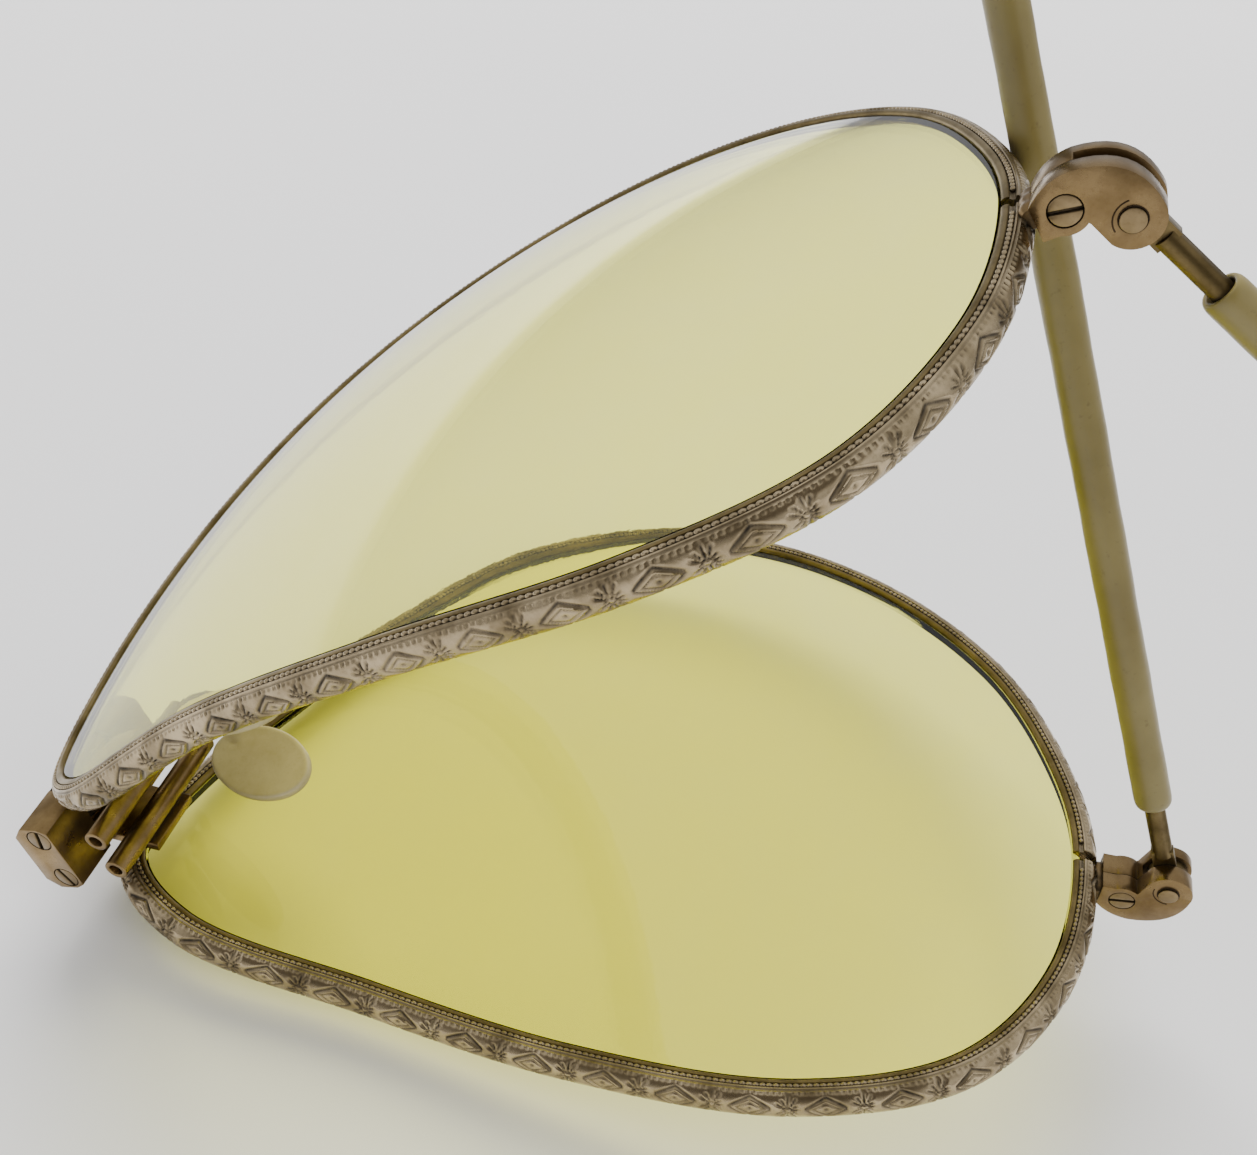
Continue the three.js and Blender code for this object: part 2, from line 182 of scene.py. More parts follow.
class Nodes:
    """A short way to add and join the nodes of one material."""

    def __init__(self, name):
        self.material = bpy.data.materials.new(name)
        self.material.use_nodes = True
        self.tree = self.material.node_tree
        self.tree.nodes.clear()
        self.output = self.tree.nodes.new("ShaderNodeOutputMaterial")
        self.place = self.add("ShaderNodeTexCoord").outputs["Object"]

    def add(self, kind, **settings):
        node = self.tree.nodes.new(kind)
        for key, value in settings.items():
            setattr(node, key, value)
        return node

    def put(self, socket, value):
        if isinstance(value, bpy.types.NodeSocket):
            self.tree.links.new(value, socket)
        elif isinstance(value, (tuple, list)) and len(value) == 3 and socket.type == "RGBA":
            socket.default_value = (*value, 1)
        else:
            socket.default_value = value

    def noise(self, scale, detail=3, rough=0.55, stretch=None):
        node = self.add("ShaderNodeTexNoise")
        self.put(node.inputs["Scale"], scale)
        self.put(node.inputs["Detail"], detail)
        self.put(node.inputs["Roughness"], rough)
        place = self.place
        if stretch:
            mapping = self.add("ShaderNodeMapping")
            self.put(mapping.inputs["Vector"], place)
            self.put(mapping.inputs["Scale"], stretch)
            place = mapping.outputs["Vector"]
        self.put(node.inputs["Vector"], place)
        return node.outputs["Fac"]

    def ramp(self, value, low, high, to_low=0.0, to_high=1.0):
        node = self.add("ShaderNodeMapRange")
        names = ("Value", "From Min", "From Max", "To Min", "To Max")
        for key, number in zip(names, (value, low, high, to_low, to_high)):
            self.put(node.inputs[key], number)
        return node.outputs["Result"]

    def mix(self, factor, a, b):
        node = self.add("ShaderNodeMix", data_type="RGBA")
        self.put(node.inputs[0], factor)
        self.put(node.inputs[6], a)
        self.put(node.inputs[7], b)
        return node.outputs[2]

    def sum(self, a, b, operation="ADD"):
        node = self.add("ShaderNodeMath", operation=operation, use_clamp=True)
        self.put(node.inputs[0], a)
        self.put(node.inputs[1], b)
        return node.outputs[0]

    def attribute(self, name):
        return self.add("ShaderNodeAttribute", attribute_name=name).outputs["Fac"]

    def crevice_shade(self, distance):
        """Ambient occlusion as a mask for painted shade: near 1 in corners and slots, 0 on open faces."""
        node = self.add("ShaderNodeAmbientOcclusion", samples=6, only_local=False)
        self.put(node.inputs["Distance"], distance)
        return self.ramp(node.outputs["AO"], 0.75, 0.3)

    def bump(self, height, strength, distance):
        node = self.add("ShaderNodeBump")
        self.put(node.inputs["Height"], height)
        self.put(node.inputs["Strength"], strength)
        self.put(node.inputs["Distance"], distance)
        return node.outputs["Normal"]

    def shader(self, **sockets):
        node = self.add("ShaderNodeBsdfPrincipled")
        for key, value in sockets.items():
            self.put(node.inputs[key.replace("_", " ")], value)
        return node.outputs["BSDF"]

    def show(self, shader):
        self.tree.links.new(shader, self.output.inputs["Surface"])
        return self.material


def worn_metal(name, bright, tarnish, grime_and_shade, roughness, tarnished, with_grime_and_shade=False, metallic=1.0):
    """Old gold-filled metal: bright where it is rubbed, tarnished in patches, darkened in its recesses by grime
    and painted shade.
    """
    n = Nodes(name)
    patches = n.ramp(n.noise(420, 5, 0.6), 0.35, 0.68)
    fine = n.noise(5200, 3)
    colour = n.mix(n.sum(patches, tarnished, "MULTIPLY"), bright, tarnish)
    colour = n.mix(n.ramp(fine, 0.55, 0.8, 0, 0.35), colour, tarnish)
    # Painted shade: ambient occlusion darkens the colour in corners and slots, and the rim's mask of grime and
    # painted shade is added to it.
    shade_and_grime_mask = n.crevice_shade(CREVICE_REACH)
    if with_grime_and_shade:
        shade_and_grime_mask = n.sum(shade_and_grime_mask, n.attribute("grime_and_shade"))
    shade_and_grime_mask = n.sum(shade_and_grime_mask, n.ramp(n.noise(1500, 3), 0.3, 0.6, 0.55, 1), "MULTIPLY")
    scratches = n.noise(2600, 2, 0.5, stretch=(0.25, 1, 3))
    return n.show(
        n.shader(
            Base_Color=n.mix(shade_and_grime_mask, colour, grime_and_shade),
            Metallic=n.ramp(shade_and_grime_mask, 0.2, 1, metallic, 0.25),
            Roughness=n.sum(n.ramp(patches, 0, 1, roughness, roughness + 0.18), n.ramp(shade_and_grime_mask, 0, 1, 0, 0.35)),
            Normal=n.bump(n.sum(scratches, fine, "MULTIPLY"), 0.25, 0.02 * MM),
        )
    )


def sleeve_plastic():
    """Aged translucent sleeving, a little uneven in colour, with painted shade darkening its corners and
    recesses.
    """
    n = Nodes("aged_sleeving")
    cloud = n.ramp(n.noise(160, 4), 0.3, 0.7)
    specks = n.ramp(n.noise(2600, 3), 0.62, 0.78)
    colour = n.mix(cloud, (0.17, 0.132, 0.034), (0.235, 0.19, 0.062))
    colour = n.mix(n.sum(specks, 0.5, "MULTIPLY"), colour, (0.12, 0.082, 0.022))
    # Painted shade: ambient occlusion darkens the colour in corners and recesses.
    shade_and_grime_mask = n.crevice_shade(0.8 * MM)
    return n.show(
        n.shader(
            Base_Color=n.mix(shade_and_grime_mask, colour, (0.13, 0.1, 0.045)),
            Roughness=n.ramp(cloud, 0, 1, 0.3, 0.42),
            Specular_IOR_Level=0.45,
            Coat_Weight=0.15,
            Coat_Roughness=0.3,
            Normal=n.bump(n.noise(900, 4, 0.6, stretch=(1, 1, 0.3)), 0.2, 0.05 * MM),
        )
    )


def tinted_glass():
    """Yellow shooting lens: clear to the eye with faint wear, and lamps shine through it with the same tint."""
    n = Nodes("yellow_glass")
    haze = n.noise(260, 5, 0.65)
    dust = n.ramp(n.noise(3800, 2), 0.7, 0.8)
    seen = n.shader(
        Base_Color=n.mix(n.ramp(haze, 0.4, 0.7), (0.965, 0.945, 0.2), (0.955, 0.935, 0.23)),
        Roughness=n.sum(n.ramp(haze, 0.45, 0.75, 0.0, 0.03), n.sum(dust, 0.12, "MULTIPLY")),
        IOR=1.5,
        Transmission_Weight=1.0,
        Normal=n.bump(haze, 0.04, 0.05 * MM),
    )
    lamps = n.add("ShaderNodeBsdfTransparent")
    n.put(lamps.inputs["Color"], (0.985, 0.972, 0.66))
    chooser = n.add("ShaderNodeMixShader")
    n.put(chooser.inputs[0], n.add("ShaderNodeLightPath").outputs["Is Shadow Ray"])
    n.put(chooser.inputs[1], seen)
    n.put(chooser.inputs[2], lamps.outputs[0])
    return n.show(chooser.outputs[0])


def table_top():
    n = Nodes("pale_table")
    grain = n.noise(900, 4)
    tone = n.ramp(n.noise(6, 3), 0.3, 0.7)
    return n.show(
        n.shader(
            Base_Color=n.mix(tone, (0.76, 0.765, 0.785), (0.8, 0.8, 0.815)),
            Roughness=0.75,
            Normal=n.bump(grain, 0.08, 0.05 * MM),
        )
    )


RIM_METAL = worn_metal(
    "engraved_rim_metal",
    bright=(0.5, 0.4, 0.25),
    tarnish=(0.12, 0.088, 0.042),
    grime_and_shade=(0.01, 0.007, 0.004),
    roughness=0.17,
    tarnished=0.8,
    with_grime_and_shade=True,
)
LIP_METAL = worn_metal(
    "rim_lip_metal",
    bright=(0.24, 0.18, 0.075),
    tarnish=(0.09, 0.064, 0.023),
    grime_and_shade=(0.02, 0.014, 0.007),
    roughness=0.3,
    tarnished=0.8,
)
END_METAL = worn_metal(
    "end_piece_metal",
    bright=(0.23, 0.158, 0.075),
    tarnish=(0.105, 0.065, 0.026),
    grime_and_shade=(0.01, 0.007, 0.004),
    roughness=0.24,
    tarnished=0.7,
)
BRIDGE_METAL = worn_metal(
    "bridge_metal",
    bright=(0.29, 0.2, 0.09),
    tarnish=(0.12, 0.075, 0.028),
    grime_and_shade=(0.015, 0.01, 0.005),
    roughness=0.25,
    tarnished=0.75,
)
SCREW_METAL = worn_metal(
    "screw_metal",
    bright=(0.26, 0.19, 0.1),
    tarnish=(0.11, 0.075, 0.035),
    grime_and_shade=(0.012, 0.008, 0.005),
    roughness=0.28,
    tarnished=0.75,
)
WIRE_METAL = worn_metal(
    "temple_wire_metal",
    bright=(0.17, 0.125, 0.055),
    tarnish=(0.07, 0.048, 0.018),
    grime_and_shade=(0.02, 0.014, 0.006),
    roughness=0.32,
    tarnished=0.8,
)
PAD_METAL = worn_metal(
    "nose_pad_metal",
    bright=(0.6, 0.53, 0.34),
    tarnish=(0.42, 0.355, 0.19),
    grime_and_shade=(0.1, 0.08, 0.035),
    roughness=0.5,
    tarnished=0.6,
    metallic=0.45,
)
SEAM_METAL = worn_metal(
    "seam_grime",
    bright=(0.09, 0.06, 0.035),
    tarnish=(0.04, 0.028, 0.018),
    grime_and_shade=(0.02, 0.014, 0.009),
    roughness=0.6,
    tarnished=0.8,
)
SLEEVING = sleeve_plastic()
GLASS = tinted_glass()


# ---------------------------------------------------------------- mesh helpers


def make_piece(name, points, faces, body, material, sharp=40, grime_and_shade=None, stands_for=()):
    """Makes a piece from points in the row frame, rides it on a body and hides the CAD nodes it replaces."""
    mesh = bpy.data.meshes.new(name)
    mesh.from_pydata([tuple(p) for p in points], [], faces)
    # The per-point mask of grime and painted shade, which the metal shader reads.
    if grime_and_shade is not None:
        layer = mesh.attributes.new("grime_and_shade", "FLOAT", "POINT")
        layer.data.foreach_set("value", np.asarray(grime_and_shade, np.float32))
    mesh.validate()
    shape = bmesh.new()
    shape.from_mesh(mesh)
    bmesh.ops.recalc_face_normals(shape, faces=shape.faces)
    if shape.calc_volume(signed=True) < 0:
        bmesh.ops.reverse_faces(shape, faces=shape.faces)
    shape.to_mesh(mesh)
    shape.free()
    return finish_piece(name, mesh, body, material, sharp, stands_for)


def finish_piece(name, mesh, body, material, sharp, stands_for):
    mesh.shade_smooth()
    mesh.set_sharp_from_angle(angle=math.radians(sharp))
    mesh.materials.clear()
    mesh.materials.append(material)
    piece = bpy.data.objects.new(name, mesh)
    bpy.context.scene.collection.objects.link(piece)
    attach(piece, body)
    if stands_for:
        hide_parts(*stands_for)
    return piece


def grid_faces(rows, columns, close_rows=False):
    """Quads over a grid of points stored row by row, each row a closed ring."""
    faces = []
    for i in range(rows if close_rows else rows - 1):
        here, there = i * columns, ((i + 1) % rows) * columns
        for j in range(columns):
            k = (j + 1) % columns
            faces.append((here + j, here + k, there + k, there + j))
    return faces


def hubbed_faces(rows, columns):
    """The grid's quads, with its first and last ring closed by fans to two hub points that follow the grid."""
    faces = grid_faces(rows, columns)
    for number, row in ((0, 0), (1, rows - 1)):
        hub = rows * columns + number
        faces += [(hub, row * columns + j, row * columns + (j + 1) % columns) for j in range(columns)]
    return faces


def capped_faces(rows, columns):
    """The grid's quads, with its first and last ring closed by a flat face each."""
    last = (rows - 1) * columns
    return grid_faces(rows, columns) + [tuple(range(columns)), tuple(range(last, last + columns))]


def rounded_copy(node, name, body, material, width, segments=2):
    """The CAD node's own shape, with its edges rounded off."""
    mesh = frame["nodes"][node].data.copy()
    mesh.name = name
    shape = bmesh.new()
    shape.from_mesh(mesh)
    bmesh.ops.remove_doubles(shape, verts=shape.verts, dist=0.002 * MM)
    bmesh.ops.dissolve_limit(shape, angle_limit=math.radians(1.5), verts=shape.verts, edges=shape.edges)
    edges = [e for e in shape.edges if len(e.link_faces) == 2 and e.calc_face_angle(0) > math.radians(32)]
    bmesh.ops.bevel(
        shape,
        geom=edges,
        offset=width,
        offset_type="OFFSET",
        segments=segments,
        profile=0.5,
        affect="EDGES",
        clamp_overlap=True,
    )
    bmesh.ops.triangulate(shape, faces=[f for f in shape.faces if len(f.verts) > 4])
    shape.to_mesh(mesh)
    shape.free()
    for layer in list(mesh.uv_layers):
        mesh.uv_layers.remove(layer)
    return finish_piece(name, mesh, body, material, 35, (node,))


# ---------------------------------------------------------------- the rim line


def outline_curve():
    """The closed centripetal spline through the outline's points, drawn finely."""
    points = np.array(RIM_OUTLINE, float)
    count = len(points)
    u = np.linspace(0, 1, 240, endpoint=False)[:, None]
    pieces = []
    for i in range(count):
        p0, p1, p2, p3 = (points[(i + k) % count] for k in (-1, 0, 1, 2))
        d0, d1, d2 = (math.sqrt(np.linalg.norm(b - a)) for a, b in ((p0, p1), (p1, p2), (p2, p3)))
        leave = ((p1 - p0) / d0 - (p2 - p0) / (d0 + d1) + (p2 - p1) / d1) * d1
        arrive = ((p2 - p1) / d1 - (p3 - p1) / (d1 + d2) + (p3 - p2) / d2) * d1
        square = -3 * p1 + 3 * p2 - 2 * leave - arrive
        cube = 2 * p1 - 2 * p2 + leave + arrive
        pieces.append(p1 + leave * u + square * u**2 + cube * u**3)
    curve = np.concatenate(pieces)
    return np.vstack([curve, curve[:1]])


CURVE = outline_curve()
ARC = np.concatenate([[0], np.cumsum(np.linalg.norm(np.diff(CURVE, axis=0), axis=1))])
RIM_LENGTH = ARC[-1]


def on_curve(t):
    along = (np.asarray(t, float) % 1) * RIM_LENGTH
    return np.stack([np.interp(along, ARC, CURVE[:, k]) for k in (0, 1)], 1)


def lifted(flat):
    return np.column_stack([flat, BASE_RADIUS - np.sqrt(BASE_RADIUS**2 - (flat**2).sum(1))])


def unit(vectors):
    return vectors / np.linalg.norm(vectors, axis=-1, keepdims=True)


def rim_frame(t):
    """The rim line's points at t, with the directions outward across the rim and towards the eye."""
    point = lifted(on_curve(t))
    tangent = unit(lifted(on_curve(t + 0.002)) - lifted(on_curve(t - 0.002)))
    eyeward = unit(np.array([0, 0, BASE_RADIUS]) - point)
    return point, unit(np.cross(tangent, eyeward)), eyeward


def beside_rim(t, section):
    """Places a section, of (outward, depth) points, at each t. The section may change with t."""
    point, outward, eyeward = rim_frame(t)
    section = np.asarray(section, float)
    if section.ndim == 2:
        section = np.broadcast_to(section, (len(t), *section.shape))
    across = section[:, :, :1] * outward[:, None]
    deep = section[:, :, 1:] * eyeward[:, None]
    return point[:, None] + across + deep


def ridge(distance, width):
    return np.exp(-((distance / width) ** 2))


def engraving(along, across):
    """How deep the band is cut, from 0 on the polished ground to 1, and how far its figures stand up.
    Lozenges lie in a row with a small rayed flower between each two, inside fine border lines."""
    pitch = RIM_LENGTH / MOTIF_COUNT
    from_flower = (along / pitch + 0.5) % 1 * pitch - pitch / 2
    from_middle = (along / pitch) % 1 * pitch - pitch / 2
    reach = np.clip(1 - np.abs(from_middle) / 1.14, 0, 1)
    half_height = 0.74 * reach**0.85
    edge = (np.abs(across) - half_height) * 0.8
    near = reach > 0
    outline = np.where(near, ridge(edge, 0.085), 0)
    inner = np.where(near, 0.7 * ridge(edge + 0.26, 0.045), 0)
    pit = ridge(np.hypot(from_middle, across), 0.1)
    radius = np.hypot(from_flower, across)
    angle = np.arctan2(across, from_flower)
    length = 0.52 + 0.42 * np.abs(np.sin(angle)) + 0.1 * np.cos(5 * angle)
    spokes = (0.5 + 0.5 * np.cos(12 * angle)) ** 1.5
    rays = spokes * np.clip((radius - 0.16) * 9, 0, 1) * np.clip((length - radius) * 6, 0, 1)
    ring = ridge(radius - 0.17, 0.035)
    ticks = (0.5 + 0.5 * np.cos(along * math.tau / 0.34)) ** 3 * ridge(np.abs(across) - 0.96, 0.1)
    border = ridge(np.abs(across) - 1.14, 0.04)
    cut = np.clip(outline + inner + pit + rays + ring + 0.75 * ticks + 0.8 * border, 0, 1)
    standing = np.where(near, ridge(edge + 0.13, 0.07), 0) + 0.6 * ridge(radius, 0.12)
    return cut, standing


def rim_section():
    """The rim's section from the middle of its V groove, round the back, the engraved band and the front.
    Gives the points, (outward, depth), their outward normals and their place across the band, nan off it."""
    back = [
        (0.0, 0.0),
        (-0.62, 0.66),
        (-0.62, 0.8),
        (-0.5, 0.87),
        (-0.36, 0.9),
        (-0.3, 0.88),
        (-0.24, 0.84),
        (-0.15, 0.82),
        (-0.06, 0.84),
        (-0.02, 0.92),
        (0.0, 0.98),
    ]
    turns = np.linspace(BAND_TURN, -BAND_TURN, 41)
    band = np.stack([BAND_CENTRE + BAND_OUT * np.cos(turns), BAND_DEEP * np.sin(turns)], 1)
    front = [(outward, -depth) for outward, depth in back[:0:-1]]
    points = np.vstack([back, band, front])
    normals = np.zeros_like(points)
    place = np.full(len(points), np.nan)
    chosen = slice(len(back), len(back) + len(band))
    normals[chosen] = unit(np.stack([np.cos(turns) / BAND_OUT, np.sin(turns) / BAND_DEEP], 1))
    steps = np.linalg.norm(np.diff(band, axis=0), axis=1)
    across = np.concatenate([[0], np.cumsum(steps)])
    place[chosen] = across[-1] / 2 - across
    return points, normals, place


def make_rim(side):
    """The rim, open at the split, with the engraving cut into its band."""
    section, normals, place = rim_section()
    half_gap = RIM_GAP / 2 / RIM_LENGTH
    count = int(RIM_LENGTH / RIM_STEP)
    t = np.linspace(half_gap, 1 - half_gap, count)
    along = t[:, None] * RIM_LENGTH
    on_band = ~np.isnan(place)
    cut, standing = engraving(along, np.nan_to_num(place)[None])
    wear = 0.5 + 0.5 * np.sin(along * 0.21 + 1.3) * np.sin(along * 0.083)
    lift = np.where(on_band, 0.035 * standing - (0.12 - 0.03 * wear) * cut, 0)
    grid = beside_rim(t, section[None] + lift[:, :, None] * normals[None])
    # Grime and painted shade: the engraving's cuts are darkened, and so is the groove under the bead rows.
    trough = ridge(section[:, 0] - BEAD_ROW[0], 0.12) * (np.abs(section[:, 1]) > 0.75)
    grime_and_shade = np.where(on_band, cut * (1.0 - 0.25 * wear), 0.85 * trough)
    hubs = beside_rim(t[[0, -1]], [(0.33, 0.0)]).reshape(-1, 3)
    make_piece(
        side + "_rim_engraved",
        to_row(np.vstack([grid.reshape(-1, 3), hubs]), side),
        hubbed_faces(count, len(section)),
        side + "_frame",
        RIM_METAL,
        sharp=50,
        grime_and_shade=np.concatenate([grime_and_shade.ravel(), [0, 0]]),
        stands_for=(side + "_rim",),
    )


def make_milgrain(side):
    """A row of beads on the rim's front and back, drawn as one string each."""
    per_bead, around = 8, 8
    beads = int((RIM_LENGTH - 3 * RIM_GAP) / BEAD_PITCH)
    margin = 1.5 * RIM_GAP / RIM_LENGTH
    count = beads * per_bead + 1
    t = np.linspace(margin, 1 - margin, count)
    phase = np.linspace(0, beads * math.pi, count)
    radius = BEAD_RADIUS * (0.42 + 0.58 * np.abs(np.sin(phase)) ** 0.7)
    angles = np.linspace(0, math.tau, around, endpoint=False)
    circle = np.stack([np.cos(angles), np.sin(angles)], 1)
    for face, depth in (("front", -BEAD_ROW[1]), ("back", BEAD_ROW[1])):
        sections = np.array([BEAD_ROW[0], depth]) + radius[:, None, None] * circle[None]
        points = beside_rim(t, sections).reshape(-1, 3)
        hubs = beside_rim(t[[0, -1]], [(BEAD_ROW[0], depth)]).reshape(-1, 3)
        make_piece(
            side + "_milgrain_" + face,
            to_row(np.vstack([points, hubs]), side),
            hubbed_faces(count, around),
            side + "_frame",
            RIM_METAL,
            sharp=180,
            # Grime and painted shade: the metal is darkened at the narrow necks between the beads.
            grime_and_shade=np.concatenate([np.repeat(ridge(radius - 0.05, 0.035), around) * 0.9, [0, 0]]),
        )


def make_lip(side):
    """The smooth olive lip between the beads and the glass, on the front and the back."""
    count = 640
    half_gap = RIM_GAP / 2 / RIM_LENGTH
    t = np.linspace(half_gap, 1 - half_gap, count)
    for face, sign in (("front", -1), ("back", 1)):
        section = [(outward, sign * depth) for outward, depth in LIP_SECTION]
        make_piece(
            side + "_rim_lip_" + face,
            to_row(beside_rim(t, section).reshape(-1, 3), side),
            capped_faces(count, len(section)),
            side + "_frame",
            LIP_METAL,
            sharp=50,
        )


def make_lens(side):
    """The domed glass, with its ground edge bevelled into the rim's groove."""
    around, rings = 320, 30
    t = np.linspace(0, 1, around, endpoint=False)
    inset = beside_rim(t, [(-LENS_SHOULDER, 0.0)])[:, 0, :2]
    centre = inset.mean(0)
    points = []
    for sign in (1, -1):
        for part in np.linspace(1, 0.03, rings)[:: -sign]:
            middle = lifted(centre + (inset - centre) * part)
            eyeward = unit(np.array([0, 0, BASE_RADIUS]) - middle)
            points.append(middle + sign * LENS_HALF_THICKNESS * eyeward)
        if sign == 1:
            for corner in LENS_BEVEL:
                points.append(beside_rim(t, [corner])[:, 0])
    grid = np.concatenate(points)
    hubs = lifted(centre[None])
    eyeward = unit(np.array([0, 0, BASE_RADIUS]) - hubs)
    hubs = np.vstack([hubs + LENS_HALF_THICKNESS * eyeward, hubs - LENS_HALF_THICKNESS * eyeward])
    make_piece(
        side + "_lens_glass",
        to_row(np.vstack([grid, hubs]), side),
        hubbed_faces(len(points), around),
        side + "_frame",
        GLASS,
        sharp=25,
        stands_for=(side + "_lens",),
    )


# ---------------------------------------------------------------- temples


def temple_axis(side):
    """Where the sleeve's axis starts and its direction, in the side's lens frame, read from the CAD sleeve."""
    local = corners_of(side, "temple_sleeve")
    middle = local.mean(0)
    direction = np.linalg.svd(local - middle, full_matrices=False)[2][0]
    direction *= np.sign(direction[2])
    reach = (local - middle) @ direction
    return middle + direction * reach.min(), middle + direction * reach.max(), direction


def sweep(centres, radii, side_hint, around=TUBE_SIDES):
    """Circles of the given radii square to a line of centres."""
    tangents = unit(np.gradient(centres, axis=0))
    first = unit(side_hint - (tangents @ side_hint)[:, None] * tangents)
    second = np.cross(tangents, first)
    angles = np.linspace(0, math.tau, around, endpoint=False)
    ring = np.cos(angles)[None, :, None] * first[:, None] + np.sin(angles)[None, :, None] * second[:, None]
    return centres[:, None] + ring * np.asarray(radii)[:, None, None]


def make_sleeve(side):
    """The sleeve over the temple wire: a tube with rounded ends, slightly uneven with age."""
    start, end, direction = temple_axis(side)
    length = np.linalg.norm(end - start)
    near_end, far_end = [0, 0.04, 0.12, 0.25, 0.45], [length - 0.1, length]
    stations = np.concatenate([near_end, np.linspace(0.8, length - 0.3, 90), far_end])
    taper = 1 - 0.14 * np.exp(-stations / 0.16)
    swell = 1 + 0.012 * np.sin(stations * 0.83) + 0.008 * np.sin(stations * 2.1 + 1)
    radii = SLEEVE_RADIUS * taper * swell
    radii[-1] -= 0.08
    outer = sweep(start + stations[:, None] * direction, radii, np.array([1.0, 0, 0]))
    inner_at = np.array([length, length - 2, 2, 0.1, 0.0])
    bore = [SLEEVE_BORE] * 4 + [SLEEVE_BORE + 0.06]
    inner = sweep(start + inner_at[:, None] * direction, bore, np.array([1.0, 0, 0]))
    # The bore's stations run backwards, which turns its circles the other way, so they are turned back.
    inner = inner[:, (-np.arange(TUBE_SIDES)) % TUBE_SIDES]
    grid = np.concatenate([outer, inner])
    make_piece(
        side + "_sleeve",
        to_row(grid.reshape(-1, 3), side),
        grid_faces(len(grid), TUBE_SIDES, close_rows=True),
        side + "_temple",
        SLEEVING,
        sharp=60,
        stands_for=(side + "_temple_sleeve",),
    )


def make_ear_end(side):
    """The thicker ear end: straight on from the sleeve, bent down the face, ending in a round tip."""
    start, _, direction = temple_axis(side)
    slope = math.asin(direction[1])
    down = unit(np.array([-direction[0] * math.tan(slope), math.cos(slope), -direction[2] * math.tan(slope)]))
    origin = start - direction * SLEEVE_START
    turn = np.linspace(0, EAR_TURN, 40)
    ahead = np.concatenate([np.linspace(EAR_START, BEND_START, 12)[:-1], BEND_START + EAR_BEND * np.sin(turn)])
    lower = np.concatenate([np.zeros(11), EAR_BEND * (1 - np.cos(turn))])
    tip = np.linspace(0, 1.5, 8)[1:]
    tail = np.concatenate([np.linspace(0, EAR_TAIL, 24)[1:], EAR_TAIL + EAR_RADIUS * np.sin(tip)])
    ahead = np.concatenate([ahead, ahead[-1] + tail * math.cos(EAR_TURN)])
    lower = np.concatenate([lower, lower[-1] + tail * math.sin(EAR_TURN)])
    centres = origin + ahead[:, None] * direction + lower[:, None] * down
    radii = np.full(len(centres), EAR_RADIUS)
    radii[:3] = (1.1, 1.2, 1.24)
    radii[-len(tip) :] = EAR_RADIUS * np.cos(tip)
    grid = sweep(centres, radii, np.cross(direction, down))
    make_piece(
        side + "_ear_tip",
        to_row(grid.reshape(-1, 3), side),
        capped_faces(len(grid), TUBE_SIDES),
        side + "_temple",
        SLEEVING,
        sharp=60,
        stands_for=(side + "_ear_end",),
    )


# ---------------------------------------------------------------- end pieces, pads and bridge


def ring_arc(centre, radius, start, end, count=48, thickness=0.035, around=8):
    """A thin round line in a plane of constant y, as a tube."""
    angles = np.linspace(start, end, count)
    line = np.stack([np.cos(angles) * radius, np.zeros(count), np.sin(angles) * radius], 1)
    return sweep(np.asarray(centre) + line, np.full(count, thickness), np.array([0, 1.0, 0]), around)


def make_seams(side):
    """Dark worn seams on the end piece: round the temple pin, and where the hinge eye was let in."""
    x, _, z = TEMPLE_PIN
    seams = {
        "pin_seam": ring_arc((x, PLATE_TOP, z), 0.62, 0, math.tau),
        "hinge_seam": ring_arc((x + 0.1, PLATE_TOP, z + 0.1), 0.98, 3.0, 4.75),
    }
    for name, grid in seams.items():
        points, faces = to_row(grid.reshape(-1, 3), side), capped_faces(*grid.shape[:2])
        make_piece(f"{side}_{name}", points, faces, side + "_frame", SEAM_METAL)


def make_pad(side):
    """The nose pad: a thin oval spoon, dished a little, with a small pit near its end."""
    local = corners_of(side, "nose_pad")
    middle = (local.max(0) + local.min(0)) / 2
    long_way, short_way, normal = np.linalg.svd(local - local.mean(0), full_matrices=False)[2]
    normal = normal * np.sign(normal[2])
    long_way = long_way * np.sign(long_way[1])
    short_way = np.cross(normal, long_way)
    around, rings = 72, 16
    angles = np.linspace(0, math.tau, around, endpoint=False)
    points = []
    shares = np.concatenate([np.linspace(0.04, 0.94, rings), [0.975, 1.0]])
    lifts = np.concatenate([np.ones(rings), [0.86, 0.5]])
    for sign in (1, -1):
        order = zip(shares, lifts) if sign == 1 else zip(shares[::-1], lifts[::-1])
        for share, lift in order:
            a, b = np.cos(angles) * share, np.sin(angles) * share
            dish = 0.18 * share**2 - 0.1
            pit = 0.16 * ridge(np.hypot(a - 0.72, b + 0.18) * PAD_HALF_LONG, 0.32) if sign == 1 else 0
            height = np.broadcast_to(sign * PAD_HALF_THICK * lift + dish - pit, a.shape)
            flat = np.outer(a * PAD_HALF_LONG, long_way) + np.outer(b * PAD_HALF_SHORT, short_way)
            points.append(middle + flat + np.outer(height, normal))
    hubs = np.stack([middle + (sign * PAD_HALF_THICK - 0.1) * normal for sign in (1, -1)])
    make_piece(
        side + "_pad_spoon",
        to_row(np.vstack([*points, hubs]), side),
        hubbed_faces(len(points), around),
        side + "_frame",
        PAD_METAL,
        sharp=70,
        stands_for=(side + "_nose_pad",),
    )


